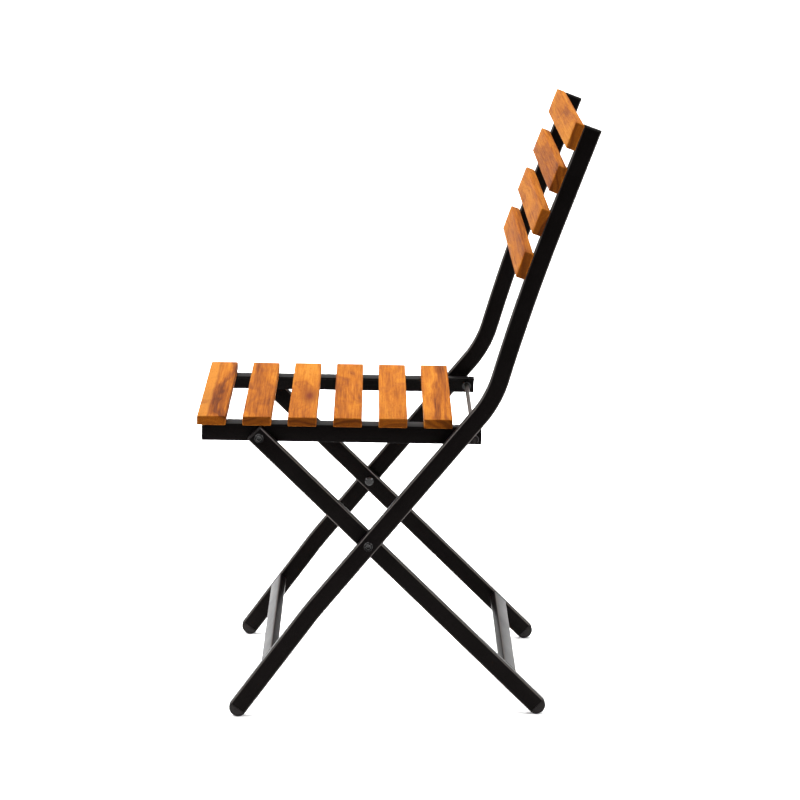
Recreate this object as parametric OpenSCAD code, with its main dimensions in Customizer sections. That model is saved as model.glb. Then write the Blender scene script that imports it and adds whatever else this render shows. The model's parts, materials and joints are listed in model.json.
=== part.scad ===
/* [Overall] */
// Distance from the floor to the cross pivot of the two leg frames, mm
pivot_height = 243.5; // [220:0.5:270]
// Cross pivot position along the chair, negative towards the front edge, mm
pivot_x = -36.9; // [-60:0.1:0]

/* [Steel tube] */
// Depth of the flat oval-cornered tube, seen from the side of the chair, mm
tube_depth = 25; // [18:0.5:28]
// Width of the tube across the chair, mm
tube_width = 15; // [12:0.5:20]
// Wall thickness of every tube, mm
wall = 1.5; // [1:0.1:2.5]
// Outside corner radius of every tube, mm
corner = 2.4; // [1.6:0.1:3]
// Thickness of the stretcher tubes between the legs, mm
stretcher_depth = 12; // [10:0.5:16]

/* [Back frame] */
// Distance of the back-frame tubes from the middle of the chair, mm
frame_y = 202; // [190:0.5:215]
// Slope of the front leg next to the floor, degrees
foot_slope = 53.5; // [50:0.1:58]
// Slope of the front leg through the cross pivot, degrees
leg_slope = 50.4; // [46:0.1:54]
// Slope of the upright just above the seat, degrees
waist_slope = 73.7; // [70:0.1:80]
// Slope of the upright behind the back slats, degrees
top_slope = 69.4; // [64:0.1:76]
// Length of straight tube below the cross pivot, mm
below_pivot = 106.5; // [90:0.5:120]
// Length of straight tube from the cross pivot to the seat bend, mm
above_pivot = 234.2; // [215:0.1:250]
// Centre-line radius of the gentle bend below the pivot, mm
knee_radius = 540; // [400:10:800]
// Centre-line radius of the bend behind the seat, mm
bend_radius = 150; // [120:5:200]
// Centre-line radius of the curved lower back, mm
back_radius = 3080; // [2000:10:4000]
// Length of straight tube at the top of the upright, mm
top_length = 129.5; // [110:0.5:150]
// Position of the front stretcher up the leg from the foot, mm
front_stretcher_at = 81.5; // [60:0.5:120]
// Diameter of the rod that carries the rear of the seat, mm
rest_rod = 8; // [6:0.5:12]

/* [Rear legs] */
// Distance of the rear-leg tubes from the middle of the chair, mm
leg_y = 185.5; // [175:0.5:192]
// Slope of the rear legs, degrees
rear_slope = 44.6; // [40:0.1:50]
// Distance from the cross pivot up to the seat pivot, mm
arm_length = 209.7; // [195:0.1:225]
// Length of arm beyond the seat pivot, mm
arm_end = 10; // [8:0.5:12]
// Position of the rear stretcher up the leg from the foot, mm
rear_stretcher_at = 62.6; // [50:0.5:100]

/* [Seat] */
// Slope of the seat down to the rear, degrees
seat_slope = 0.7; // [0:0.1:4]
// Number of seat slats
seat_slats = 6; // [5:1:7]
// Width of one seat slat, mm
slat_width = 39; // [34:0.5:44]
// Thickness of every slat, mm
slat_thickness = 13; // [10:0.5:16]
// Length of one seat slat across the chair, mm
seat_slat_length = 380; // [360:1:384]
// Distance between the fronts of neighbouring seat slats, mm
slat_pitch = 61.9; // [56:0.1:66]
// Distance of the first slat ahead of the seat pivot, mm
slat_start = 85.2; // [70:0.1:95]
// Distance from the middle of the chair to the outside of the seat rails, mm
rail_outside = 177; // [165:0.5:177]
// Width of the rail flange under the slats, mm
flange = 30; // [24:0.5:36]
// Width of the rail flange behind the last slat, mm
tail_flange = 18; // [14:0.5:24]
// Height of the seat rail, mm
rail_height = 24; // [20:0.5:28]
// Thickness of the angle steel of the seat rail, mm
rail_wall = 2.5; // [2:0.1:3]
// Rail length ahead of the seat pivot, mm
rail_front = 79; // [70:0.5:84]
// Rail length behind the seat pivot, mm
rail_rear = 303.4; // [290:0.1:310]
// Height of the top of the rail above the seat pivot, mm
rail_top = 16.6; // [16.5:0.1:20]
// Diameter of the seat rear rod, mm
rear_rod = 6; // [5:0.5:8]

/* [Back slats] */
// Number of back slats
back_slats = 4; // [3:1:5]
// Width of one back slat, mm
back_slat_width = 37; // [32:0.5:42]
// Length of one back slat across the chair, mm
back_slat_length = 427; // [419:1:435]
// Distance between neighbouring back slats along the upright, mm
back_pitch = 61.5; // [55:0.1:66]

/* [Fasteners] */
// Diameter of the pivot bolts, mm
pivot_bolt = 8; // [6:0.5:10]
// Diameter of the pivot bolt heads, mm
pivot_head = 13; // [11:0.5:15]
// Diameter of the slat screws, mm
screw = 4; // [3:0.5:5]
// Radial running clearance of the pivots, mm
running_fit = 0.06; // [0.02:0.01:0.1]
// Gap left between parts that slide past each other, mm
side_gap = 0.3; // [0.2:0.05:0.5]

/* [Hidden] */
steel_colour = [0.09, 0.085, 0.085];
plastic_colour = [0.03, 0.03, 0.03];
fastener_colour = [0.16, 0.155, 0.15];
wood_colours = [[0.78, 0.5, 0.24], [0.74, 0.46, 0.22], [0.8, 0.53, 0.27], [0.72, 0.44, 0.2]];
$fn = 96;
eps = 0.01;
half_depth = tube_depth / 2;
leg_floor = half_depth;
knee_turn = foot_slope - leg_slope;
pivot = [pivot_x, pivot_height];
arm_angle = 180 - rear_slope;
seat_pivot = pivot + arm_length * dir(arm_angle);
rear_leg_length = (pivot_height - leg_floor) / sin(rear_slope);
knee_bottom = pivot - below_pivot * dir(leg_slope);
knee_centre = knee_bottom - knee_radius * normal(leg_slope);
knee_top = knee_centre + knee_radius * normal(foot_slope);
foot_length = (knee_top[1] - leg_floor) / sin(foot_slope);
foot = knee_top - foot_length * dir(foot_slope);
bend_start = pivot + above_pivot * dir(leg_slope);
bend_centre = bend_start + bend_radius * normal(leg_slope);
bend_end = bend_centre - bend_radius * normal(waist_slope);
back_centre = bend_end - back_radius * normal(waist_slope);
back_end = back_centre + back_radius * normal(top_slope);
tube_top = back_end + top_length * dir(top_slope);
slat_shift = slat_thickness / 2 + half_depth;
screw_hole = screw + 0.1;
sunk_head = 2 * screw;
sunk_height = 2;
bore = pivot_bolt + 2 * running_fit;
rod_x = 292.9;
rod_z = -1.3 + rod_x * tan(seat_slope);
rest_x = pivot[0] + 107.8;
rest_z = rest_top(rest_x) - rest_rod / 2 - side_gap;
cap_end = frame_y - tube_width / 2 - 0.7;

function dir(a) = [cos(a), sin(a)];
function normal(a) = [-sin(a), cos(a)];
function rest_top(x) = seat_pivot[1] + (rail_top - rail_height - (x - seat_pivot[0]) * sin(seat_slope))
    / cos(seat_slope);
// distance down from the top of the upright -> [x, z, slope]
function upright(s) = s <= top_length
    ? concat(tube_top - s * dir(top_slope), [top_slope])
    : let (a = top_slope + (s - top_length) / back_radius * 180 / PI)
        concat(back_centre + back_radius * normal(a), [a]);

// places children at a point of the side view, their X axis along the slope
module at(p, slope, y = 0) {
    translate([p[0], y, p[1]]) rotate([0, -slope, 0]) children();
}

module mirrored() {
    children();
    mirror([0, 1, 0]) children();
}

// flat tube section: height along the first axis, width across the chair
module section(depth, width, r) {
    square([depth - 2 * r, width], center = true);
    square([depth, width - 2 * r], center = true);
    for (i = [-1, 1], j = [-1, 1])
        translate([i * (depth / 2 - r), j * (width / 2 - r)]) circle(r = r);
}

// straight bar along the slope, starting at p
module straight(p, slope, length, depth, width, r) {
    at(p, slope) rotate([0, 90, 0]) linear_extrude(height = length) section(depth, width, r);
}

// points of an arc around c, from angle a to angle b, more of them on a large radius
function arc(c, radius, a, b) = let (n = ceil(abs(b - a) * max(1, radius / 600)))
    [for (i = [0 : n]) c + radius * dir(a + (b - a) * i / n)];

// one edge of the side tube in the side view, offset forwards from its centre line by d
function edge(d, extra) = concat(
    [foot + d * normal(foot_slope) - extra * dir(foot_slope)],
    arc(knee_centre, knee_radius + d, foot_slope + 90, leg_slope + 90),
    arc(bend_centre, bend_radius - d, leg_slope - 90, waist_slope - 90),
    arc(back_centre, back_radius + d, waist_slope + 90, top_slope + 90),
    [tube_top + d * normal(top_slope) + (extra - 2) * dir(top_slope)]
);
function reversed(list) = [for (i = [len(list) - 1 : -1 : 0]) list[i]];

// whole side tube path as a flat bar, depth in the side view and width across the chair
module side_path(depth, width, extra) {
    rotate([90, 0, 0]) linear_extrude(height = width, center = true)
        polygon(concat(edge(depth / 2, extra), reversed(edge(-depth / 2, extra))));
}

module cross_hole(p, d, y, length) {
    translate([p[0], y, p[1]]) rotate([90, 0, 0]) cylinder(d = d, h = length, center = true);
}

// hole through the tube, opened out at the rear for a sunk head
module back_screw_hole(s, y) {
    u = upright(s);
    at([u[0], u[1]], u[2], y) {
        cylinder(d = screw_hole, h = tube_depth + 4, center = true);
        translate([0, 0, -half_depth - 1])
            cylinder(d1 = sunk_head + 2.4, d2 = screw_hole, h = sunk_height + 1.1);
    }
}

module side_tube() {
    color(steel_colour) difference() {
        side_path(tube_depth, tube_width, 0);
        side_path(tube_depth - 2 * wall, tube_width - 2 * wall, 3);
        cross_hole(pivot, bore, 0, tube_width + 2);
        for (i = [0 : back_slats - 1])
            back_screw_hole(back_slat_width / 2 + i * back_pitch, 0);
    }
}

module side_tube_left() { translate([0, frame_y, 0]) side_tube(); }
module side_tube_right() { translate([0, -frame_y, 0]) side_tube(); }

// tube stretcher across the chair, its outer face flush with the leg edge
module stretcher(p, slope, span) {
    color(steel_colour) at(p, slope) rotate([90, 0, 0]) difference() {
        linear_extrude(height = span, center = true)
            section(tube_depth - 1, stretcher_depth, corner);
        linear_extrude(height = span + 2, center = true)
            section(tube_depth - 1 - 2 * wall, stretcher_depth - 2 * wall, corner - wall);
    }
}

module front_stretcher() {
    stretcher(foot + front_stretcher_at * dir(foot_slope)
        + (half_depth - stretcher_depth / 2) * normal(foot_slope), foot_slope, 2 * frame_y - tube_width);
}

module seat_rest_rod() {
    color(steel_colour) cross_hole([rest_x, rest_z], rest_rod, 0, 2 * frame_y - tube_width);
}

module back_slat(i) {
    u = upright(back_slat_width / 2 + (i - 1) * back_pitch);
    color(wood_colours[(i - 1) % 4]) difference() {
        at([u[0], u[1]], u[2]) translate([0, 0, slat_shift])
            cube([back_slat_width, back_slat_length, slat_thickness], center = true);
        mirrored() at([u[0], u[1]], u[2], frame_y)
            cylinder(d = screw_hole, h = half_depth + 9);
    }
}

module back_slat_1() { back_slat(1); }
module back_slat_2() { back_slat(2); }
module back_slat_3() { back_slat(3); }
module back_slat_4() { back_slat(4); }

// pan-head screw along +Z, head below z = 0
module slat_screw(length, head) {
    cylinder(d = screw, h = length);
    translate([0, 0, -2.2]) difference() {
        cylinder(d1 = head - 1.6, d2 = head, h = 2.2);
        for (a = [0, 90]) rotate([0, 0, a]) cube([head * 0.5, 0.9, 1.6], center = true);
    }
}

// sunk-head screws, their heads level with the rear of the tube
module back_slat_screws() {
    color(fastener_colour)
        for (i = [0 : back_slats - 1], side = [-1, 1]) {
            u = upright(back_slat_width / 2 + i * back_pitch);
            at([u[0], u[1]], u[2], side * frame_y) translate([0, 0, 0.1 - half_depth]) difference() {
                union() {
                    cylinder(d1 = sunk_head, d2 = screw, h = sunk_height);
                    cylinder(d = screw, h = tube_depth + 8);
                }
                for (a = [0, 90]) rotate([0, 0, a]) cube([sunk_head * 0.5, 0.9, 1.6], center = true);
            }
        }
}

// flat cap with a spigot, set into the open end of a tube that runs along the slope
module end_plug(p, slope, y) {
    color(plastic_colour) at(p, slope, y) {
        rotate([0, 90, 0]) linear_extrude(height = 2) section(tube_depth, tube_width, corner);
        translate([-6 + eps, 0, 0]) cube([12, tube_width - 2 * wall - 0.4, tube_depth - 2 * wall - 0.4],
            center = true);
    }
}

module side_tube_top_plugs() {
    mirrored() end_plug(tube_top - 2 * dir(top_slope), top_slope, frame_y);
}

// rounded foot with a spigot, at the lower end of a tube that runs along the slope
module foot_plug(p, slope, y) {
    color(plastic_colour) at(p, slope, y) {
        intersection() {
            rotate([90, 0, 0]) cylinder(d = tube_depth, h = tube_width, center = true);
            translate([-tube_depth, -tube_width, -tube_depth])
                cube([tube_depth, 2 * tube_width, 2 * tube_depth]);
        }
        translate([9 - eps, 0, 0]) cube([18, tube_width - 2 * wall - 0.4, tube_depth - 2 * wall - 0.4],
            center = true);
    }
}

module front_foot_plugs() { mirrored() foot_plug(foot, foot_slope, frame_y); }

module rear_leg() {
    color(steel_colour) difference() {
        straight(pivot - rear_leg_length * dir(arm_angle), arm_angle,
            rear_leg_length + arm_length + arm_end - 2, tube_depth, tube_width, corner);
        straight(pivot - (rear_leg_length + 1) * dir(arm_angle), arm_angle,
            rear_leg_length + arm_length + arm_end + 2, tube_depth - 2 * wall, tube_width - 2 * wall,
            corner - wall);
        cross_hole(pivot, bore, 0, tube_width + 2);
        cross_hole(seat_pivot, bore, 0, tube_width + 2);
    }
}

module rear_leg_left() { translate([0, leg_y, 0]) rear_leg(); }
module rear_leg_right() { translate([0, -leg_y, 0]) rear_leg(); }

module rear_stretcher() {
    stretcher(pivot - (rear_leg_length - rear_stretcher_at) * dir(arm_angle)
        - (half_depth - stretcher_depth / 2) * normal(arm_angle), arm_angle, 2 * leg_y - tube_width);
}

// top plug of the arm: short enough to stay clear of the seat pivot bolt
module rear_leg_top_plugs() {
    mirrored() color(plastic_colour)
        at(seat_pivot + (arm_end - 2) * dir(arm_angle), arm_angle, leg_y) {
            rotate([0, 90, 0]) linear_extrude(height = 2) section(tube_depth, tube_width, corner);
            translate([-1.5 + eps, 0, 0])
                cube([3, tube_width - 2 * wall - 0.4, tube_depth - 2 * wall - 0.4], center = true);
        }
}

module rear_foot_plugs() {
    mirrored() foot_plug(pivot - rear_leg_length * dir(arm_angle), arm_angle, leg_y);
}

// places children in the seat frame: origin on the seat pivot, X along the rails to the rear
module seat_frame() {
    at(seat_pivot, -seat_slope) children();
}

function slat_x(i) = -slat_start + (i - 1) * slat_pitch + slat_width / 2;
flange_end = slat_x(seat_slats) + slat_width / 2;
screw_y = rail_outside - flange / 2 - 1;

module seat_rail() {
    color(steel_colour) seat_frame() difference() {
        union() {
            translate([-rail_front, rail_outside - rail_wall, rail_top - rail_height])
                cube([rail_front + rail_rear, rail_wall, rail_height]);
            translate([-rail_front, rail_outside - flange, rail_top - rail_wall])
                cube([rail_front + flange_end, flange, rail_wall]);
            translate([flange_end - 1, rail_outside - tail_flange, rail_top - rail_wall])
                cube([rail_rear - flange_end + 1, tail_flange, rail_wall]);
        }
        translate([0, rail_outside, 0]) rotate([90, 0, 0]) cylinder(d = bore, h = 20, center = true);
        translate([rod_x, rail_outside, rod_z]) rotate([90, 0, 0])
            cylinder(d = rear_rod + 0.1, h = 20, center = true);
        for (i = [1 : seat_slats])
            translate([slat_x(i), screw_y, rail_top]) cylinder(d = screw_hole, h = 20, center = true);
    }
}

module seat_rail_left() { seat_rail(); }
module seat_rail_right() { mirror([0, 1, 0]) seat_rail(); }

module seat_slat(i) {
    color(wood_colours[(i + 1) % 4]) seat_frame() difference() {
        translate([slat_x(i), 0, rail_top + slat_thickness / 2])
            cube([slat_width, seat_slat_length, slat_thickness], center = true);
        mirrored() translate([slat_x(i), screw_y, rail_top - 1]) cylinder(d = screw_hole, h = 10);
    }
}

module seat_slat_1() { seat_slat(1); }
module seat_slat_2() { seat_slat(2); }
module seat_slat_3() { seat_slat(3); }
module seat_slat_4() { seat_slat(4); }
module seat_slat_5() { seat_slat(5); }
module seat_slat_6() { seat_slat(6); }

module seat_slat_screws() {
    color(fastener_colour) seat_frame() mirrored()
        for (i = [1 : seat_slats])
            translate([slat_x(i), screw_y, rail_top - rail_wall]) slat_screw(rail_wall + 8, 7.6);
}

module seat_rear_rod() {
    color(steel_colour) seat_frame() translate([rod_x, 0, rod_z]) rotate([90, 0, 0])
        cylinder(d = rear_rod, h = 2 * cap_end - 3, center = true);
}

// flanged collars that hold the rod in the rails
module seat_rod_collars() {
    color(fastener_colour) seat_frame() mirrored()
        translate([rod_x, rail_outside - rail_wall, rod_z]) rotate([90, 0, 0]) difference() {
            cylinder(d = 13, h = 2);
            translate([0, 0, -1]) cylinder(d = rear_rod + 0.1, h = 5);
        }
}

// caps on the outer tips of the rod
module seat_rod_caps() {
    color(plastic_colour) seat_frame() mirrored()
        translate([rod_x, cap_end, rod_z]) rotate([90, 0, 0]) difference() {
            cylinder(d = 12.4, h = 9);
            translate([0, 0, 1.5]) cylinder(d = rear_rod + 0.1, h = 9);
        }
}

// button head with a dished centre, its flat underside at z = 0
module button_head(d, h) {
    difference() {
        union() {
            cylinder(d = d, h = h * 0.45);
            translate([0, 0, h * 0.45]) cylinder(d1 = d, d2 = d * 0.72, h = h * 0.55);
        }
        translate([0, 0, h * 0.55]) cylinder(d = d * 0.42, h = h);
    }
}

// bolt along -Z from its head, which sits on z = 0
module pivot_bolt_shape(length) {
    button_head(pivot_head, 3);
    translate([0, 0, -length]) cylinder(d = pivot_bolt, h = length + eps);
}

module washer(y, h, d) {
    translate([0, y, 0]) rotate([90, 0, 0]) difference() {
        cylinder(d = d, h = h, center = true);
        cylinder(d = pivot_bolt + 0.1, h = h + 2, center = true);
    }
}

module cap_nut(y, h) {
    translate([0, y, 0]) rotate([90, 0, 0]) difference() {
        union() {
            cylinder(d = pivot_head, h = h - 1.2);
            translate([0, 0, h - 1.2]) cylinder(d1 = pivot_head, d2 = pivot_head - 3, h = 1.2);
        }
        translate([0, 0, -1]) cylinder(d = pivot_bolt + 0.1, h = h - 0.5);
    }
}

frame_out = frame_y + tube_width / 2;
frame_in = frame_y - tube_width / 2;
leg_out = leg_y + tube_width / 2;
leg_in = leg_y - tube_width / 2;
rail_in = rail_outside - rail_wall;

module cross_pivot_bolts() {
    color(fastener_colour) mirrored() translate([pivot[0], frame_out, pivot[1]])
        rotate([-90, 0, 0]) pivot_bolt_shape(frame_out - leg_in + 3);
}

module cross_pivot_washers() {
    color(fastener_colour) mirrored() translate([pivot[0], 0, pivot[1]])
        washer((frame_in + leg_out) / 2, frame_in - leg_out - 2 * side_gap, 18);
}

module cross_pivot_nuts() {
    color(fastener_colour) mirrored() translate([pivot[0], 0, pivot[1]])
        cap_nut(leg_in - side_gap, 5);
}

module seat_pivot_bolts() {
    color(fastener_colour) mirrored() translate([seat_pivot[0], leg_out + side_gap, seat_pivot[1]])
        rotate([-90, 0, 0]) pivot_bolt_shape(leg_out + side_gap - rail_in + 3);
}

module seat_pivot_washers() {
    color(fastener_colour) mirrored() translate([seat_pivot[0], 0, seat_pivot[1]])
        washer(rail_outside + 0.35, 0.7, 16);
}

module seat_pivot_nuts() {
    color(fastener_colour) mirrored() translate([seat_pivot[0], 0, seat_pivot[1]])
        cap_nut(rail_in, 5);
}

side_tube_left();
side_tube_right();
front_stretcher();
seat_rest_rod();
back_slat_1();
back_slat_2();
back_slat_3();
back_slat_4();
back_slat_screws();
side_tube_top_plugs();
front_foot_plugs();
rear_leg_left();
rear_leg_right();
rear_stretcher();
rear_leg_top_plugs();
rear_foot_plugs();
seat_rail_left();
seat_rail_right();
seat_slat_1();
seat_slat_2();
seat_slat_3();
seat_slat_4();
seat_slat_5();
seat_slat_6();
seat_slat_screws();
seat_rear_rod();
seat_rod_collars();
seat_rod_caps();
cross_pivot_bolts();
cross_pivot_washers();
cross_pivot_nuts();
seat_pivot_bolts();
seat_pivot_washers();
seat_pivot_nuts();
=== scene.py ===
import json
import math

import bpy
import numpy as np
from mathutils import Matrix


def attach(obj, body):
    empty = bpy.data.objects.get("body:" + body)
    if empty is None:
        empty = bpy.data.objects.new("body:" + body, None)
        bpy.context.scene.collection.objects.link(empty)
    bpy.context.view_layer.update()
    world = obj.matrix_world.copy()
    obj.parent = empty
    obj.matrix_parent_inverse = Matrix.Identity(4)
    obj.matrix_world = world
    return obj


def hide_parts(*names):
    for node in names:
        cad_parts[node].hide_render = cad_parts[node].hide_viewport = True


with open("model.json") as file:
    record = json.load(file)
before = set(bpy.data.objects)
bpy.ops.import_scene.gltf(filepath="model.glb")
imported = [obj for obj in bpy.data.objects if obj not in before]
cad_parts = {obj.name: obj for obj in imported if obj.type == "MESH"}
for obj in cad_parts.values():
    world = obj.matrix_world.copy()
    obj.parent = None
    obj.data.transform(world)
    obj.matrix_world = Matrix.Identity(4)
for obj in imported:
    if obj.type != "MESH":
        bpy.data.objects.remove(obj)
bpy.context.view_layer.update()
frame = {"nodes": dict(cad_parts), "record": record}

MM = 0.001

# ---------------------------------------------------------------- the chair's own measures, in metres
TUBE_DEPTH = 25 * MM
TUBE_WIDTH = 15 * MM
TUBE_CORNER = 2.4 * MM
STRETCHER_DEPTH = 12 * MM
FRAME_Y = 202 * MM
LEG_Y = 185.5 * MM
RAIL_OUTSIDE = 177 * MM
PIVOT = np.array([-36.9, 243.5]) * MM
FOOT_SLOPE, LEG_SLOPE, WAIST_SLOPE, TOP_SLOPE = np.radians([53.5, 50.4, 73.7, 69.4])
KNEE_RADIUS, BEND_RADIUS, BACK_RADIUS = 540 * MM, 150 * MM, 3080 * MM
BELOW_PIVOT, ABOVE_PIVOT, TOP_LENGTH = 106.5 * MM, 234.2 * MM, 129.5 * MM
ARM_SLOPE = math.radians(180 - 44.6)
ARM_LENGTH, ARM_END = 209.7 * MM, 10 * MM
FRONT_STRETCHER_AT, REAR_STRETCHER_AT = 81.5 * MM, 62.6 * MM
SEAT_SLOPE = math.radians(-0.7)
SLAT_WIDTH, SLAT_THICKNESS, SEAT_SLAT_LENGTH = 39 * MM, 13 * MM, 380 * MM
SLAT_START, SLAT_PITCH, RAIL_TOP = 85.2 * MM, 61.9 * MM, 16.6 * MM
BACK_SLAT_WIDTH, BACK_SLAT_LENGTH, BACK_PITCH = 37 * MM, 427 * MM, 61.5 * MM
RAIL_HEIGHT, RAIL_WALL, FLANGE, TAIL_FLANGE = 24 * MM, 2.5 * MM, 30 * MM, 18 * MM
RAIL_FRONT, RAIL_REAR = 79 * MM, 303.4 * MM
ROD_X = 292.9 * MM


def along(angle):
    """Unit direction in the side view: (cosine, sine) of the slope."""
    return np.stack([np.cos(angle), np.sin(angle)], axis=-1)


def ahead(angle):
    """Unit direction square to a slope, turned a quarter turn towards the sitter's side."""
    return np.stack([-np.sin(angle), np.cos(angle)], axis=-1)


def side(points, y):
    """Side-view points (x, z) put at distance y across the chair."""
    points = np.atleast_2d(points)
    return np.stack([points[:, 0], np.full(len(points), float(y)), points[:, 1]], axis=1)


KNEE_BOTTOM = PIVOT - BELOW_PIVOT * along(LEG_SLOPE)
KNEE_CENTRE = KNEE_BOTTOM - KNEE_RADIUS * ahead(LEG_SLOPE)
KNEE_TOP = KNEE_CENTRE + KNEE_RADIUS * ahead(FOOT_SLOPE)
FOOT = KNEE_TOP - (KNEE_TOP[1] - TUBE_DEPTH / 2) / math.sin(FOOT_SLOPE) * along(FOOT_SLOPE)
BEND_START = PIVOT + ABOVE_PIVOT * along(LEG_SLOPE)
BEND_CENTRE = BEND_START + BEND_RADIUS * ahead(LEG_SLOPE)
BEND_END = BEND_CENTRE - BEND_RADIUS * ahead(WAIST_SLOPE)
BACK_CENTRE = BEND_END - BACK_RADIUS * ahead(WAIST_SLOPE)
BACK_END = BACK_CENTRE + BACK_RADIUS * ahead(TOP_SLOPE)
TUBE_TOP = BACK_END + TOP_LENGTH * along(TOP_SLOPE)
SEAT_PIVOT = PIVOT + ARM_LENGTH * along(ARM_SLOPE)
REAR_FOOT = PIVOT - (PIVOT[1] - TUBE_DEPTH / 2) / math.sin(math.pi - ARM_SLOPE) * along(ARM_SLOPE)


# ---------------------------------------------------------------- surfaces
def rounded(half_a, half_b, radius, corner_steps=5, flats=(1, 1)):
    """Closed outline of a rounded rectangle: each corner is a quarter circle of the radius about a point
    one radius inside both edges, and each straight edge is cut into equal parts between two corners."""
    turn = np.linspace(0, np.pi / 2, corner_steps)
    quarter = np.concatenate([turn + q * np.pi / 2 for q in range(4)])
    sign_a = np.repeat([1, -1, -1, 1], corner_steps)
    sign_b = np.repeat([1, 1, -1, -1], corner_steps)
    loop = np.stack([sign_a * (half_a - radius) + radius * np.cos(quarter),
                     sign_b * (half_b - radius) + radius * np.sin(quarter)], axis=1)
    rows = []
    for corner in range(4):
        here = loop[corner * corner_steps:(corner + 1) * corner_steps]
        after = loop[(corner + 1) * corner_steps % len(loop)]
        parts = flats[corner % 2]
        steps = np.linspace(0, 1, parts + 1)[1:-1, None]
        rows += [here, here[-1] + (after - here[-1]) * steps]
    return np.concatenate(rows)


def skin(name, rings, body, material, sharp=40, poles=True, values=None):
    """Closed surface through rings of points, an array of ring by point by 3. Neighbouring rings are joined
    by four-sided faces, and the first and last ring close on their middle points. Faces point outwards:
    the enclosed volume, a sum of corner products, has to be positive. `values` are named values at the
    ring points; a closing point takes the mean of its ring."""
    count, size = rings.shape[:2]
    points = rings.reshape(-1, 3)
    ring, spot = np.meshgrid(np.arange(count - 1), np.arange(size), indexing="ij")
    near = (spot + 1) % size
    quads = np.stack([ring * size + spot, ring * size + near, (ring + 1) * size + near,
                      (ring + 1) * size + spot], axis=-1).reshape(-1, 4)
    edge = np.arange(size)
    if poles:
        points = np.concatenate([points, rings[:1].mean(axis=1), rings[-1:].mean(axis=1)])
        first, last = count * size, count * size + 1
        caps = np.concatenate([
            np.stack([edge, np.full(size, first), (edge + 1) % size], axis=1),
            np.stack([(count - 1) * size + edge, (count - 1) * size + (edge + 1) % size,
                      np.full(size, last)], axis=1)])
    else:
        ends = np.stack([(count - 1) * size + edge, (count - 1) * size + (edge + 1) % size,
                         (edge + 1) % size, edge], axis=1)
        quads = np.concatenate([quads, ends])
        caps = np.zeros((0, 3), int)
    fans = np.concatenate([quads[:, [0, 1, 2]], quads[:, [0, 2, 3]], caps])
    volume = np.einsum("ij,ij->i", points[fans[:, 0]],
                       np.cross(points[fans[:, 1]], points[fans[:, 2]])).sum()
    if volume < 0:
        quads, caps = quads[:, ::-1], caps[:, ::-1]
    mesh = bpy.data.meshes.new(name)
    mesh.from_pydata(points.tolist(), [], quads.tolist() + caps.tolist())
    mesh.polygons.foreach_set("use_smooth", np.ones(len(mesh.polygons), bool))
    mesh.set_sharp_from_angle(angle=math.radians(sharp))
    for title, data in (values or {}).items():
        data = np.broadcast_to(data, (count, size) + np.shape(data)[2:])
        flat = data.reshape((count * size,) + data.shape[2:])
        if poles:
            flat = np.concatenate([flat, data[:1].mean(axis=1), data[-1:].mean(axis=1)])
        kind, key = ("FLOAT_VECTOR", "vector") if flat.ndim == 2 else ("FLOAT", "value")
        layer = mesh.attributes.new(title, kind, "POINT")
        layer.data.foreach_set(key, np.ascontiguousarray(flat, np.float32).ravel())
    mesh.update()
    piece = bpy.data.objects.new(name, mesh)
    bpy.context.scene.collection.objects.link(piece)
    piece.data.materials.append(material)
    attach(piece, body)
    return piece


def carried(outline, centres, first, second):
    """A flat outline carried along a path: each ring is the path's point plus the outline's first measure
    along one direction and its second measure along the other. The outline may change from ring to ring."""
    outline = np.broadcast_to(outline, (len(centres),) + np.shape(outline)[-2:])
    return (centres[:, None, :] + outline[..., :1] * first[:, None, :] + outline[..., 1:] * second[:, None, :])


def same(direction, count):
    """One direction repeated for every ring of a straight path."""
    return np.repeat(np.atleast_2d(np.asarray(direction, float)), count, axis=0)


def rim_value(outline, half_a, half_b):
    """1 on the corners of a rounded outline and 0 on its flats: how near a point is to both edges at once."""
    near = np.minimum(np.abs(outline[:, 0]) / half_a, np.abs(outline[:, 1]) / half_b)
    return np.clip((near - 0.82) / 0.18, 0, 1)


def side_tube_path():
    """Centre line and slope of the bent side tube: a straight foot, a gentle arc, a straight leg, a tight arc
    behind the seat, a long shallow arc and a straight top, joined where their slopes are equal."""
    knee = np.linspace(FOOT_SLOPE, LEG_SLOPE, 7)
    bend = np.linspace(LEG_SLOPE, WAIST_SLOPE, 33)
    back = np.linspace(WAIST_SLOPE, TOP_SLOPE, 25)
    foot_run = np.linspace(0, 1, 6)[:-1, None]
    leg_run = np.linspace(0, 1, 9)[1:-1, None]
    top_run = np.linspace(0, 1, 7)[1:, None]
    top = TUBE_TOP - 2 * MM * along(TOP_SLOPE)
    points = np.concatenate([
        FOOT + foot_run * (KNEE_TOP - FOOT),
        KNEE_CENTRE + KNEE_RADIUS * ahead(knee),
        KNEE_BOTTOM + leg_run * (BEND_START - KNEE_BOTTOM),
        BEND_CENTRE - BEND_RADIUS * ahead(bend),
        BACK_CENTRE + BACK_RADIUS * ahead(back[1:]),
        BACK_END + top_run * (top - BACK_END)])
    slopes = np.concatenate([np.full(5, FOOT_SLOPE), knee, np.full(7, LEG_SLOPE), bend, back[1:],
                             np.full(6, TOP_SLOPE)])
    return points, slopes


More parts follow.
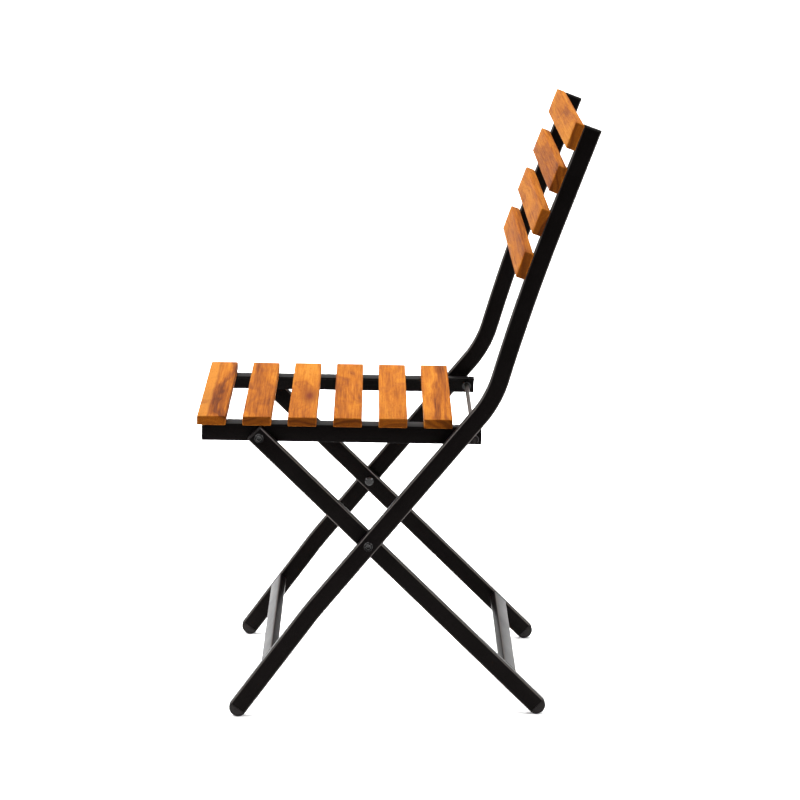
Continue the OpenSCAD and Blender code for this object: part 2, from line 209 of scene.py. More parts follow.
def tube(name, points, slopes, y, body, material):
    """Flat tube: a rounded rectangle, its long side in the side view, carried along the path at height y
    across the chair. The two end rings are drawn in a little, so that the cut edges are eased."""
    outline = rounded(TUBE_DEPTH / 2, TUBE_WIDTH / 2, TUBE_CORNER, 6)
    step = 0.4 * MM
    points = np.concatenate([points[:1], points[:1] + step * along(slopes[0]), points[1:-1],
                             points[-1:] - step * along(slopes[-1]), points[-1:]])
    slopes = np.concatenate([slopes[:1], slopes[:1], slopes[1:-1], slopes[-1:], slopes[-1:]])
    scale = np.ones((len(points), 1, 1))
    scale[[0, -1]] = 0.97
    front = ahead(slopes)
    rings = carried(outline * scale, side(points, y), np.stack([front[:, 0], 0 * slopes, front[:, 1]], axis=1),
                    same((0, 1, 0), len(points)))
    return skin(name, rings, body, material,
                values={"rim": rim_value(outline, TUBE_DEPTH / 2, TUBE_WIDTH / 2)[None, :]})


def stretcher(name, middle, slope, half_span, body, material):
    """Straight tube across the chair: a rounded rectangle, its long side along the leg, carried from one
    leg's inner face to the other's."""
    half_a, half_b = TUBE_DEPTH / 2 - 0.5 * MM, STRETCHER_DEPTH / 2
    outline = rounded(half_a, half_b, TUBE_CORNER, 6)
    run = np.linspace(-half_span, half_span, 9)
    centres = np.stack([np.full(9, middle[0]), run, np.full(9, middle[1])], axis=1)
    lengthways, outwards = along(slope), ahead(slope)
    rings = carried(outline, centres, same((lengthways[0], 0, lengthways[1]), 9),
                    same((outwards[0], 0, outwards[1]), 9))
    return skin(name, rings, body, material, values={"rim": rim_value(outline, half_a, half_b)[None, :]})


def weld_bead(name, points, radius, body, material, seed):
    """Weld bead: a circle carried along a short path. Its radius swells and shrinks as a sine of the distance,
    with a slower random sine added, and drops to nothing at both ends as the root of a half circle does."""
    rng = np.random.default_rng(seed)
    steps = 40
    measured = np.concatenate([[0], np.cumsum(np.linalg.norm(np.diff(points, axis=0), axis=1))])
    run = np.linspace(0, measured[-1], steps)
    centres = np.stack([np.interp(run, measured, points[:, k]) for k in range(3)], axis=1)
    tangent = np.gradient(centres, axis=0)
    tangent /= np.linalg.norm(tangent, axis=1, keepdims=True)
    helper = np.cross(tangent, same((0.31, 0.84, 0.44), steps))
    helper /= np.linalg.norm(helper, axis=1, keepdims=True)
    other = np.cross(tangent, helper)
    phase = np.linspace(0, 1, steps)
    taper = np.sqrt(np.clip(1 - (2 * phase - 1) ** 6, 0.01, 1))
    swell = 1 + 0.1 * np.sin(run / (0.9 * MM)) + 0.12 * np.sin(run / (4 * MM) + rng.uniform(0, 6))
    around = np.linspace(0, 2 * np.pi, 13)[:-1]
    outline = (radius * taper * swell)[:, None, None] * np.stack([np.cos(around), np.sin(around)], axis=1)
    return skin(name, carried(outline, centres, helper, other), body, material, sharp=80)


def turned(name, profile, centre, towards, body, material, sharp=35, count=40, values=None):
    """Turned piece: a profile of (radius, height) pairs swept in a full circle about a line across the chair
    through `centre`; heights run towards +Y or -Y."""
    profile = np.asarray(profile, float) * MM
    around = np.linspace(0, 2 * np.pi, count + 1)[:-1]
    rings = np.stack([centre[0] + profile[:, :1] * np.cos(around),
                      centre[1] + towards * profile[:, 1:] + 0 * around,
                      centre[2] + profile[:, :1] * np.sin(around)], axis=-1)
    return skin(name, rings, body, material, sharp=sharp, values=values)


def foot_plug(name, end, slope, y, body, material):
    """Moulded foot: a rounded rectangle carried down the leg. A narrower neck leaves a fine groove under the
    tube, then the depth follows a half circle to the tip while the width shrinks slightly, as a cosine."""
    half_depth, half_width = TUBE_DEPTH / 2, TUBE_WIDTH / 2
    turn = np.linspace(0, np.pi / 2 * 0.985, 18)
    depth = np.concatenate([half_depth + np.array([-1.4, -1.4, -0.3, 0.0]) * MM, half_depth * np.cos(turn[2:])])
    width = np.concatenate([half_width + np.array([-1.4, -1.4, -0.3, 0.0]) * MM,
                            half_width - 2.4 * MM * (1 - np.cos(turn[2:]))])
    down = np.concatenate([np.array([-1.5, 0.7, 0.7, 1.0]) * MM, half_depth * np.sin(turn[2:])])
    corner = np.minimum(2.4 * MM, 0.9 * depth)
    outline = np.stack([rounded(a, b, r, 6) for a, b, r in zip(depth, width, corner)])
    centres = side(end - down[:, None] * along(slope), y)
    front = ahead(slope)
    rings = carried(outline, centres, same((front[0], 0, front[1]), len(down)), same((0, 1, 0), len(down)))
    return skin(name, rings, body, material, sharp=50)


def seat_point(x, y, z):
    """A point of the seat's own frame, x along the rails from the seat pivot and z square to them."""
    base = SEAT_PIVOT + x * along(SEAT_SLOPE) + z * ahead(SEAT_SLOPE)
    return np.array([base[0], y, base[1]])


def seat_rail(name, hand, material):
    """Angle steel: an L outline with eased corners carried along the rail. Behind the last slat the flange is
    narrower: there the outline's inner points move outwards by the difference in width."""
    def outline(flange):
        top, low = RAIL_TOP, RAIL_TOP - RAIL_HEIGHT
        out, web, lip = RAIL_OUTSIDE, RAIL_OUTSIDE - RAIL_WALL, RAIL_OUTSIDE - flange
        corners = np.array([[out, low], [out, top], [lip, top], [lip, top - RAIL_WALL],
                            [web, top - RAIL_WALL], [web, low]])
        ease = np.array([0.8, 1.4, 0.8, 0.5, 1.6, 0.8]) * MM
        before = np.roll(corners, 1, axis=0) - corners
        after = np.roll(corners, -1, axis=0) - corners
        before /= np.linalg.norm(before, axis=1, keepdims=True)
        after /= np.linalg.norm(after, axis=1, keepdims=True)
        turn = np.linspace(0, np.pi / 2, 6)[None, :, None]
        middle = corners[:, None, :] + ease[:, None, None] * (before + after)[:, None, :]
        arc = middle - ease[:, None, None] * (np.cos(turn) * after[:, None, :]
                                              + np.sin(turn) * before[:, None, :])
        return arc.reshape(-1, 2)

    step = -SLAT_START + 5 * SLAT_PITCH + SLAT_WIDTH
    places = np.array([-RAIL_FRONT, -RAIL_FRONT + 0.4 * MM, -10 * MM, 90 * MM, 190 * MM, step - 0.4 * MM, step,
                       step + 0.3 * MM, step + 0.5 * MM, RAIL_REAR - 0.4 * MM, RAIL_REAR])
    flanges = np.array([FLANGE] * 6 + [FLANGE - 0.4 * MM] + [TAIL_FLANGE] * 4)
    shapes = np.stack([outline(f) for f in flanges])
    centres = np.stack([seat_point(x, 0, 0) for x in places])
    up = ahead(SEAT_SLOPE)
    rings = carried(shapes, centres, same((0, hand, 0), len(places)), same((up[0], 0, up[1]), len(places)))
    return skin(name, rings, "seat", material)


def slat(name, middle, slope, width, length, body, material, seed, tone=0.0, knot=None, split=0.5):
    """Wooden slat: a rounded rectangle carried across the chair. At both ends the outline draws in along a
    quarter circle, which eases the end edges, and then closes over the flat end. The faces wander by a tenth
    of a millimetre as slow sines of the length, as planed wood does.

    `board` holds each point's place on the slat (length, width, thickness), `pith` its place from the middle
    of the tree that the slat was cut from, `sap` its distance ahead of the sapwood line in centimetres, and
    `cut` is 1 on the end grain."""
    rng = np.random.default_rng(seed)
    ease = rng.uniform(1.3, 1.7) * MM
    half_w, half_t, half_l = width / 2, SLAT_THICKNESS / 2, length / 2
    turn = np.linspace(0, np.pi / 2, 5)
    inset = np.concatenate([ease * (1 - np.sin(turn)), np.zeros(13), ease * (1 - np.sin(turn[::-1]))])
    run = np.concatenate([-half_l + ease * (1 - np.cos(turn)), np.linspace(-half_l, half_l, 15)[1:-1],
                          half_l - ease * (1 - np.cos(turn[::-1]))])
    shapes = np.stack([rounded(half_w - d, half_t - d, ease - 0.92 * d, 5, (3, 8)) for d in inset])
    shrink = np.array([0.05, 0.45, 0.85])[:, None, None]
    shapes = np.concatenate([shapes[:1] * shrink, shapes, shapes[-1:] * shrink[::-1]])
    run = np.concatenate([np.repeat(run[:1], 3), run, np.repeat(run[-1:], 3)])
    cut = np.zeros(len(run))
    cut[:4] = cut[-4:] = 1
    cut[[4, -5]] = 0.6
    wander = 0.12 * MM * np.stack([np.sin(run * 9 + rng.uniform(0, 6)),
                                   np.sin(run * 6.5 + rng.uniform(0, 6))], axis=1)
    centres = np.stack([np.full(len(run), middle[0]), run, np.full(len(run), middle[1])], axis=1)
    wide, thick = along(slope), ahead(slope)
    rings = carried(shapes + wander[:, None, :], centres, same((wide[0], 0, wide[1]), len(run)),
                    same((thick[0], 0, thick[1]), len(run)))
    place = np.concatenate([np.broadcast_to(run[:, None, None], shapes.shape[:2] + (1,)), shapes], axis=2)
    tree = np.array([rng.uniform(-20, 20), rng.uniform(-0.03, 0.03), -rng.uniform(0.02, 0.09)])
    eye = np.array(knot if knot else (5.0, 5.0))
    values = {"board": place + rng.uniform(-10, 10, 3), "pith": place - tree,
              "eye": np.concatenate([place[..., :2] - eye, 0 * place[..., :1]], axis=2),
              "cut": np.broadcast_to(cut[:, None], shapes.shape[:2]),
              "sap": (-split - place[..., 1]) / (10 * MM), "tone": np.full(shapes.shape[:2], tone)}
    return skin(name, rings, body, material, sharp=50, values=values)


# ---------------------------------------------------------------- materials
class Recipe:
    """A material's node tree with short calls for the nodes that the finishes share."""

    def __init__(self, name):
        self.material = bpy.data.materials.new(name)
        self.material.use_nodes = True
        self.tree = self.material.node_tree
        self.shader = self.tree.nodes["Principled BSDF"]

    def add(self, kind, **links):
        made = self.tree.nodes.new("ShaderNode" + kind)
        for key, value in links.items():
            if hasattr(made, key):
                setattr(made, key, value)
        return made

    def put(self, node, socket, value):
        target = node.inputs[socket]
        if isinstance(value, bpy.types.NodeSocket):
            self.tree.links.new(value, target)
        else:
            target.default_value = value

    def maths(self, operation, a, b=0.0):
        made = self.add("Math", operation=operation)
        self.put(made, 0, a)
        self.put(made, 1, b)
        return made.outputs[0]

    def vector(self, operation, a, b):
        made = self.add("VectorMath", operation=operation)
        self.put(made, 0, a)
        if operation == "SCALE":
            self.put(made, "Scale", b)
        else:
            self.put(made, 1, b)
        return made.outputs["Value" if operation == "LENGTH" else "Vector"]

    def noise(self, place, scale=1.0, detail=2.0, rough=0.5):
        made = self.add("TexNoise")
        self.put(made, "Vector", place)
        self.put(made, "Scale", scale)
        self.put(made, "Detail", detail)
        self.put(made, "Roughness", rough)
        return made.outputs["Fac"]

    def spread(self, value, low, high, to_low=0.0, to_high=1.0):
        made = self.add("MapRange")
        self.put(made, "Value", value)
        for socket, number in (("From Min", low), ("From Max", high), ("To Min", to_low), ("To Max", to_high)):
            self.put(made, socket, number)
        return made.outputs["Result"]

    def ramp(self, value, stops):
        made = self.add("ValToRGB")
        band = made.color_ramp
        while len(band.elements) < len(stops):
            band.elements.new(0.5)
        for element, (place, colour) in zip(band.elements, stops):
            element.position = place
            element.color = (*colour, 1)
        self.put(made, "Fac", value)
        return made.outputs["Color"]

    def mix(self, amount, a, b):
        made = self.add("Mix", data_type="RGBA")
        self.put(made, "Factor", amount)
        self.put(made, 6, a if isinstance(a, bpy.types.NodeSocket) else (*a, 1))
        self.put(made, 7, b if isinstance(b, bpy.types.NodeSocket) else (*b, 1))
        return made.outputs[2]

    def bump(self, height, distance, strength=1.0):
        made = self.add("Bump")
        self.put(made, "Height", height)
        self.put(made, "Distance", distance)
        self.put(made, "Strength", strength)
        return made.outputs["Normal"]

    def value(self, title, output="Vector"):
        made = self.add("Attribute", attribute_name=title)
        return made.outputs[output]

    def object_place(self):
        return self.add("TexCoord").outputs["Object"]

    def finish(self, **sockets):
        for socket, value in sockets.items():
            self.put(self.shader, socket.replace("_", " "), value)
        return self.material


def acacia():
    """Oiled acacia. Bands: noise read at the distance from the pith, so stripes run along the slat and open
    into arches where the cut meets the rings at a shallow angle; low noise first pushes that place about.
    A second, finer noise at the same distance draws thin dark growth lines. Fibres and open pores are noise
    drawn out along the slat. Sapwood is pale on one side of a wavering line. The end grain is darker, with
    curved lines and dots."""
    r = Recipe("oiled_acacia")
    board, pith, eye, cut = r.value("board"), r.value("pith"), r.value("eye"), r.value("cut", "Fac")
    slow = r.add("TexNoise", noise_dimensions="3D")
    r.put(slow, "Vector", r.vector("MULTIPLY", board, (5.0, 16.0, 16.0)))
    r.put(slow, "Scale", 1.0)
    r.put(slow, "Detail", 3.0)
    push = r.vector("MULTIPLY", r.vector("SUBTRACT", slow.outputs["Color"], (0.5, 0.5, 0.5)),
                    (0.0, 0.024, 0.024))
    eye_far = r.vector("LENGTH", r.vector("MULTIPLY", eye, (0.2, 1.0, 0.0)), (0, 0, 0))
    near_eye = r.spread(eye_far, 0.002, 0.015, 1.0, 0.0)
    eye_push = r.vector("SCALE", r.vector("MULTIPLY", eye, (0.0, 2.4, 0.0)), near_eye)
    place = r.vector("ADD", r.vector("ADD", pith, push), eye_push)
    across = r.add("SeparateXYZ")
    r.put(across, 0, place)
    reach = r.maths("SQRT", r.maths("ADD", r.maths("POWER", across.outputs[1], 2.0),
                                    r.maths("POWER", across.outputs[2], 2.0)))
    rings = r.add("CombineXYZ")
    r.put(rings, 0, r.maths("MULTIPLY", reach, 210.0))
    r.put(rings, 1, r.maths("MULTIPLY", across.outputs[0], 1.3))
    bands = r.noise(rings.outputs[0], 1.0, 3.0, 0.55)
    wide_bands = r.noise(rings.outputs[0], 0.24, 2.0, 0.5)
    lines = r.spread(r.noise(rings.outputs[0], 3.4, 2.0, 0.6), 0.56, 0.68)
    fibre = r.noise(r.vector("MULTIPLY", board, (22.0, 1300.0, 1300.0)), 1.0, 3.0, 0.6)
    streak = r.noise(r.vector("MULTIPLY", board, (9.0, 420.0, 420.0)), 1.0, 2.0, 0.5)
    pores = r.spread(r.noise(r.vector("MULTIPLY", board, (70.0, 2300.0, 2300.0)), 1.0, 1.0, 0.4), 0.61, 0.70)
    cloud = r.noise(r.vector("MULTIPLY", board, (7.0, 34.0, 34.0)), 1.0, 3.0, 0.55)
    level = r.maths("ADD", r.maths("MULTIPLY", bands, 0.58), r.maths("MULTIPLY", wide_bands, 0.62))
    for part, weight in ((fibre, 0.26), (streak, 0.36), (cloud, 0.14)):
        level = r.maths("ADD", level, r.maths("MULTIPLY", r.maths("SUBTRACT", part, 0.5), weight))
    level = r.maths("ADD", r.maths("SUBTRACT", level, 0.10), r.value("tone", "Fac"))
    colour = r.ramp(level, [(0.28, (0.055, 0.012, 0.0018)), (0.38, (0.118, 0.030, 0.0036)),
                            (0.49, (0.215, 0.063, 0.0060)), (0.60, (0.270, 0.093, 0.0095)),
                            (0.74, (0.335, 0.138, 0.0190))])
    waver = r.maths("MULTIPLY", r.maths("SUBTRACT", r.noise(r.vector("MULTIPLY", board, (9.0, 9.0, 9.0)), 1.0,
                                                            2.0, 0.5), 0.5), 1.1)
    sap = r.spread(r.maths("ADD", r.value("sap", "Fac"), waver), -0.06, 0.06)
    edge_line = r.spread(r.maths("ABSOLUTE", r.maths("ADD", r.value("sap", "Fac"), waver)), 0.0, 0.28, 0.6, 0.0)
    colour = r.mix(r.maths("MULTIPLY", sap, 0.75), colour, (0.290, 0.110, 0.0150))
    colour = r.mix(edge_line, colour, (0.115, 0.030, 0.006))
    colour = r.mix(r.maths("MULTIPLY", lines, 0.5), colour, (0.110, 0.026, 0.005))
    colour = r.mix(r.maths("MULTIPLY", pores, 0.6), colour, (0.085, 0.022, 0.005))
    eye_core = r.spread(eye_far, 0.0010, 0.0060, 0.8, 0.0)
    colour = r.mix(r.maths("MULTIPLY", near_eye, 0.9), colour, (0.100, 0.022, 0.005))
    colour = r.mix(eye_core, colour, (0.085, 0.016, 0.006))
    dots = r.spread(r.noise(r.vector("MULTIPLY", board, (120.0, 1300.0, 1300.0)), 1.0, 2.0, 0.5), 0.42, 0.62)
    ring_mix = r.maths("ADD", r.maths("MULTIPLY", bands, 0.5), r.maths("MULTIPLY", wide_bands, 0.5))
    arcs = r.spread(ring_mix, 0.36, 0.64)
    end_colour = r.mix(arcs, (0.034, 0.007, 0.0008), (0.205, 0.056, 0.0035))
    end_colour = r.mix(r.maths("MULTIPLY", dots, 0.6), end_colour, (0.052, 0.012, 0.002))
    colour = r.mix(cut, colour, end_colour)
    height = r.maths("SUBTRACT", r.maths("MULTIPLY", fibre, 0.35), r.maths("MULTIPLY", pores, 0.9))
    height = r.maths("SUBTRACT", height, r.maths("MULTIPLY", eye_core, 0.4))
    normal = r.bump(height, 0.00025, 0.5)
    matt = r.spread(r.maths("ADD", bands, r.maths("MULTIPLY", pores, 0.4)), 0.3, 0.9, 0.62, 0.80)
    return r.finish(Base_Color=colour, Roughness=matt, Normal=normal, Specular_IOR_Level=0.03)


def powder_coat():
    """Black powder coat on steel: fine orange peel from noise half a millimetre across over a slower one,
    with the black varying a little. Along the rims the colour is lifted to a light grey and made metallic: a
    painted edge highlight for the bright lines on the tube corners."""
    r = Recipe("black_powder_coat")
    place = r.object_place()
    peel = r.noise(place, 1500.0, 2.0, 0.5)
    swell = r.noise(place, 240.0, 2.0, 0.5)
    patch = r.noise(place, 14.0, 3.0, 0.6)
    speck = r.spread(r.noise(place, 2600.0, 1.0, 0.5), 0.66, 0.75)
    tone = r.maths("ADD", r.maths("MULTIPLY", patch, 0.7), r.maths("MULTIPLY", swell, 0.3))
    colour = r.ramp(tone, [(0.3, (0.0010, 0.0007, 0.0007)), (0.7, (0.0025, 0.0019, 0.0019))])
    colour = r.mix(r.maths("MULTIPLY", speck, 0.5), colour, (0.022, 0.019, 0.018))
    # painted edge highlight: the colour is lifted to light grey along the rims
    colour = r.mix(r.value("rim", "Fac"), colour, (0.120, 0.107, 0.100))
    height = r.maths("ADD", r.maths("MULTIPLY", peel, 0.5), swell)
    matt = r.spread(patch, 0.3, 0.7, 0.30, 0.35)
    # painted edge highlight: the rims are also made metallic, so they shine brighter than the coat
    return r.finish(Base_Color=colour, Roughness=matt, Normal=r.bump(height, 0.0001, 0.14),
                    Metallic=r.maths("MULTIPLY", r.value("rim", "Fac"), 0.9), Specular_IOR_Level=0.03,
                    Specular_Tint=(1.0, 0.93, 0.90, 1.0))


def moulded_plastic():
    """Black moulded plastic: an even fine grain from small cells, slightly worn and greyer in slow patches."""
    r = Recipe("black_moulded_plastic")
    place = r.object_place()
    grain = r.add("TexVoronoi", feature="F1")
    r.put(grain, "Vector", place)
    r.put(grain, "Scale", 1700.0)
    patch = r.noise(place, 60.0, 3.0, 0.6)
    colour = r.ramp(patch, [(0.3, (0.0075, 0.0062, 0.0060)), (0.7, (0.0130, 0.0110, 0.0105))])
    return r.finish(Base_Color=colour, Roughness=r.spread(patch, 0.3, 0.7, 0.46, 0.60),
                    Normal=r.bump(grain.outputs["Distance"], 0.0001, 0.3), Specular_IOR_Level=0.09)


def blackened_steel():
    """Blackened fastener: dark oxide rubbed brighter in fine scratches and slow patches."""
    r = Recipe("blackened_steel")
    place = r.object_place()
    scratch = r.noise(r.vector("MULTIPLY", place, (900.0, 300.0, 2600.0)), 1.0, 2.0, 0.6)
    patch = r.noise(place, 260.0, 3.0, 0.6)
    tone = r.maths("ADD", r.maths("MULTIPLY", scratch, 0.5), r.maths("MULTIPLY", patch, 0.5))
    colour = r.ramp(tone, [(0.35, (0.0015, 0.0013, 0.0012)), (0.7, (0.0050, 0.0045, 0.0043))])
    return r.finish(Base_Color=colour, Roughness=r.spread(tone, 0.3, 0.7, 0.26, 0.17),
                    Normal=r.bump(tone, 0.00003, 0.15), Specular_IOR_Level=0.34)


WOOD, STEEL, PLASTIC, FASTENER = acacia(), powder_coat(), moulded_plastic(), blackened_steel()
SLOTS = {"acacia": WOOD, "steel": STEEL, "plastic": PLASTIC, "fasteners": FASTENER}


def stands_for(piece, slot, *nodes):
    """Hides the CAD nodes that a piece stands for and returns the piece."""
    if nodes:
        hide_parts(*nodes)
    return piece


for part in frame["record"]["subparts"]:
    shown = frame["nodes"][part["node"]]
    shown.data.materials.clear()
    shown.data.materials.append(SLOTS[part["material_slot"]])


# ---------------------------------------------------------------- frame tubes
points, slopes = side_tube_path()
for label, hand in (("left", 1), ("right", -1)):
    stands_for(tube("tube_side_" + label, points, slopes, hand * FRAME_Y, "back_frame", STEEL), "steel",
               "side_tube_" + label)
    ends = np.linspace(0, 1, 12)[:, None]
    arm = REAR_FOOT + ends * (SEAT_PIVOT + (ARM_END - 2 * MM) * along(ARM_SLOPE) - REAR_FOOT)
    stands_for(tube("tube_rear_leg_" + label, arm, np.full(12, ARM_SLOPE), hand * LEG_Y, "rear_legs", STEEL),
               "steel", "rear_leg_" + label)
    stands_for(seat_rail("rail_" + label, hand, STEEL), "steel", "seat_rail_" + label)

offset = (TUBE_DEPTH - STRETCHER_DEPTH) / 2
front_middle = FOOT + FRONT_STRETCHER_AT * along(FOOT_SLOPE) + offset * ahead(FOOT_SLOPE)
rear_middle = REAR_FOOT + REAR_STRETCHER_AT * along(ARM_SLOPE) - offset * ahead(ARM_SLOPE)
FRAME_INSIDE, LEG_INSIDE = FRAME_Y - TUBE_WIDTH / 2, LEG_Y - TUBE_WIDTH / 2
stands_for(stretcher("tube_front_stretcher", front_middle, FOOT_SLOPE, FRAME_INSIDE, "back_frame", STEEL),
           "steel", "front_stretcher")
stands_for(stretcher("tube_rear_stretcher", rear_middle, ARM_SLOPE, LEG_INSIDE, "rear_legs", STEEL),
           "steel", "rear_stretcher")

# ---------------------------------------------------------------- welds
for title, middle, slope, inner, body, out in (
        ("front", front_middle, FOOT_SLOPE, FRAME_INSIDE, "back_frame", 1),
        ("rear", rear_middle, ARM_SLOPE, LEG_INSIDE, "rear_legs", -1)):
    half_a, half_b = TUBE_DEPTH / 2 - 0.5 * MM, STRETCHER_DEPTH / 2
    for label, hand in (("left", 1), ("right", -1)):
        corners = np.array([[half_a, out * (half_b - 2 * MM)], [half_a, -out * half_b],
                            [-half_a, -out * half_b], [-half_a, out * (half_b - 2 * MM)]])
        path = side(middle + corners[:, :1] * along(slope) + corners[:, 1:] * ahead(slope),
                    hand * (inner - 0.3 * MM))
        stands_for(weld_bead("weld_" + title + "_" + label, path, 1.7 * MM, body, STEEL, 11 + hand), "steel")

# ---------------------------------------------------------------- slats
SEAT_TONES = (-0.09, 0.02, 0.0, 0.0, -0.02, -0.03)
for number in range(6):
    x = -SLAT_START + number * SLAT_PITCH + SLAT_WIDTH / 2
    middle = SEAT_PIVOT + x * along(SEAT_SLOPE) + (RAIL_TOP + SLAT_THICKNESS / 2) * ahead(SEAT_SLOPE)
    knot = (-0.046, 0.007) if number == 2 else None
    split = 5 * MM if number == 0 else 0.5
    board = slat("slat_seat_%d" % (number + 1), middle, SEAT_SLOPE, SLAT_WIDTH, SEAT_SLAT_LENGTH, "seat", WOOD,
                 seed=20 + number, tone=SEAT_TONES[number], knot=knot, split=split)
    stands_for(board, "acacia", "seat_slat_%d" % (number + 1))

BACK_TONES = (-0.04, -0.03, -0.06, -0.02)
for number in range(4):
    down = BACK_SLAT_WIDTH / 2 + number * BACK_PITCH
    slope = TOP_SLOPE + max(0.0, down - TOP_LENGTH) / BACK_RADIUS
    if down <= TOP_LENGTH:
        base = TUBE_TOP - down * along(TOP_SLOPE)
    else:
        base = BACK_CENTRE + BACK_RADIUS * ahead(slope)
    middle = base + (TUBE_DEPTH / 2 + SLAT_THICKNESS / 2) * ahead(slope)
    board = slat("slat_back_%d" % (number + 1), middle, slope, BACK_SLAT_WIDTH, BACK_SLAT_LENGTH, "back_frame",
                 WOOD, seed=40 + number, tone=BACK_TONES[number])
    stands_for(board, "acacia", "back_slat_%d" % (number + 1))

# ---------------------------------------------------------------- feet and pivots
for label, hand in (("left", 1), ("right", -1)):
    foot = foot_plug("foot_front_" + label, FOOT, FOOT_SLOPE, hand * FRAME_Y, "back_frame", PLASTIC)
    stands_for(foot, "plastic", *(["front_foot_plugs"] if hand == 1 else []))
    foot = foot_plug("foot_rear_" + label, REAR_FOOT, ARM_SLOPE, hand * LEG_Y, "rear_legs", PLASTIC)
    stands_for(foot, "plastic", *(["rear_foot_plugs"] if hand == 1 else []))

# profiles of (radius, height) pairs in mm: domed bolt head with a recess, and flanged rod cap with a nub
BOLT_HEAD = [(4.0, 0.02), (5.9, 0.02), (6.3, 0.25), (6.4, 0.8), (6.2, 1.3), (5.8, 1.6), (5.3, 1.45), (5.0, 1.1),
             (4.7, 1.0), (4.4, 1.3), (4.1, 1.9), (3.6, 2.5), (3.1, 2.75), (2.7, 2.6), (2.45, 2.0), (2.35, 0.9),
             (1.9, 0.7), (0.4, 0.7)]
CROSS_SHANK, SEAT_SHANK = 34.5, 21.8
for title, spot, outer, shank, body in (
        ("cross", PIVOT, FRAME_Y + TUBE_WIDTH / 2, CROSS_SHANK, "back_frame"),
        ("seat", SEAT_PIVOT, LEG_Y + TUBE_WIDTH / 2 + 0.3 * MM, SEAT_SHANK, "seat")):
    for label, hand in (("left", 1), ("right", -1)):
        profile = [(0.5, -shank), (3.6, -shank), (4.0, 0.4 - shank)] + BOLT_HEAD
        bolt = turned("bolt_%s_%s" % (title, label), profile, (spot[0], hand * outer, spot[1]), hand, body,
                      FASTENER)
        stands_for(bolt, "fasteners", *([title + "_pivot_bolts"] if hand == 1 else []))

ROD_CAP = [(0.5, -1.0), (3.0, -1.0), (3.0, 0.0), (5.6, 0.0), (6.0, 0.3), (6.2, 0.9), (6.2, 6.6), (5.9, 7.6),
           (5.2, 8.1), (4.7, 7.9), (4.4, 7.0), (4.2, 6.5), (3.3, 6.4), (3.2, 8.2), (2.8, 8.8), (2.0, 9.0),
           (0.4, 9.0)]
rod = seat_point(ROD_X, 0, -1.3 * MM + ROD_X * math.tan(-SEAT_SLOPE))
reach = np.linspace(-186, 186, 25)
rod_profile = [(0.5, -186.5), (2.7, -186.5)] + [(3.1, y) for y in reach] + [(2.7, 186.5), (0.5, 186.5)]
# painted highlight: the whole rod takes the rim value, so it gets the lighter metallic colour of the painted
# edge highlight
bar = turned("rod_rear", rod_profile, (rod[0], 0.0, rod[2]), 1, "seat", STEEL, values={"rim": 1.0})
stands_for(bar, "steel", "seat_rear_rod")
for label, hand in (("left", 1), ("right", -1)):
    cap = turned("rod_cap_" + label, ROD_CAP, (rod[0], hand * 184.8 * MM, rod[2]), hand, "seat", PLASTIC)
    stands_for(cap, "plastic", *(["seat_rod_caps"] if hand == 1 else []))

# ---------------------------------------------------------------- room, light and camera
def floor():
    """Plain pale floor: one large flat square, just under the feet."""
    mesh = bpy.data.meshes.new("floor")
    reach = 45.0
    mesh.from_pydata([(-reach, -reach, -0.0004), (reach, -reach, -0.0004), (reach, reach, -0.0004),
                      (-reach, reach, -0.0004)], [], [(0, 1, 2, 3)])
    made = bpy.data.objects.new("floor", mesh)
    bpy.context.scene.collection.objects.link(made)
    r = Recipe("pale_floor")
    fine = r.noise(r.object_place(), 30.0, 2.0, 0.5)
    colour = r.ramp(fine, [(0.3, (0.94, 0.94, 0.94)), (0.7, (0.96, 0.96, 0.96))])
    made.data.materials.append(r.finish(Base_Color=colour, Roughness=0.9, Specular_IOR_Level=0.1))


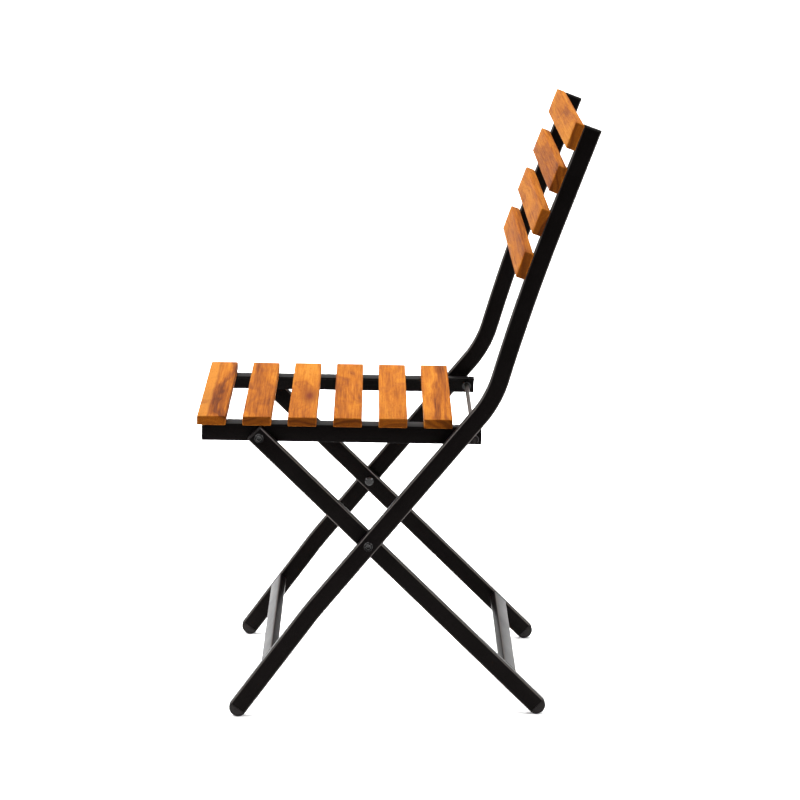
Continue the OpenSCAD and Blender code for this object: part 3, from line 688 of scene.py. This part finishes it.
def softbox(name, place, aim, size, watts, spread=180, colour=(1, 1, 1)):
    """Rectangular area light at `place`, turned so that its face looks at `aim`."""
    lamp = bpy.data.lights.new(name, "AREA")
    lamp.shape, lamp.size, lamp.size_y = "RECTANGLE", size[0], size[1]
    lamp.energy, lamp.color, lamp.spread = watts, colour, math.radians(spread)
    made = bpy.data.objects.new(name, lamp)
    bpy.context.scene.collection.objects.link(made)
    back = np.array(place, float) - np.array(aim, float)
    back /= np.linalg.norm(back)
    right = np.cross((0, 1, 0) if abs(back[2]) > 0.99 else (0, 0, 1), back)
    right /= np.linalg.norm(right)
    up = np.cross(back, right)
    turn = np.eye(4)
    turn[:3, 0], turn[:3, 1], turn[:3, 2], turn[:3, 3] = right, up, back, place
    made.matrix_world = Matrix(turn.tolist())


def camera(aim, distance, down, yaw, roll, focal):
    """Camera that looks at `aim` from `distance` away, `down` radians below level, turned by yaw and roll."""
    look = np.array([math.sin(yaw) * math.cos(down), math.cos(yaw) * math.cos(down), -math.sin(down)])
    right = np.array([math.cos(yaw), -math.sin(yaw), 0.0])
    up = np.cross(right, look)
    right, up = (right * math.cos(roll) + up * math.sin(roll), up * math.cos(roll) - right * math.sin(roll))
    lens = bpy.data.cameras.new("camera")
    lens.sensor_width, lens.lens = 36.0, focal
    lens.clip_start, lens.clip_end = 0.1, 200.0
    made = bpy.data.objects.new("camera", lens)
    bpy.context.scene.collection.objects.link(made)
    turn = np.eye(4)
    turn[:3, 0], turn[:3, 1], turn[:3, 2] = right, up, -look
    turn[:3, 3] = np.array(aim) - distance * look
    made.matrix_world = Matrix(turn.tolist())
    bpy.context.scene.camera = made


floor()
softbox("key_above", (-0.7, 0.9, 3.3), (0.1, 0.5, 0.0), (3.8, 3.4), 112, spread=95)
softbox("floor_wash", (0.0, 9.8, 5.0), (0.0, 9.8, 0.0), (18.0, 16.0), 2650, spread=110)
softbox("far_wall", (0.0, 19.0, 3.6), (0.0, 0.0, 1.5), (26.0, 7.5), 150, colour=(1.0, 0.88, 0.84))
softbox("side_left", (-3.2, -1.0, 2.5), (0.0, 0.0, 0.4), (1.4, 1.6), 17, spread=70)
softbox("side_right", (3.2, -1.0, 2.5), (0.0, 0.0, 0.4), (1.4, 1.6), 17, spread=70)
world = bpy.data.worlds.new("room")
world.use_nodes = True
world.node_tree.nodes["Background"].inputs["Color"].default_value = (1.0, 1.0, 1.0, 1)
world.node_tree.nodes["Background"].inputs["Strength"].default_value = 0.5
bpy.context.scene.world = world
bpy.context.scene.view_settings.view_transform = "Standard"
camera((0.0068, 0.0, 0.4043), 4.2693, math.radians(11.88), math.radians(0.45), math.radians(0.37), 135.0)
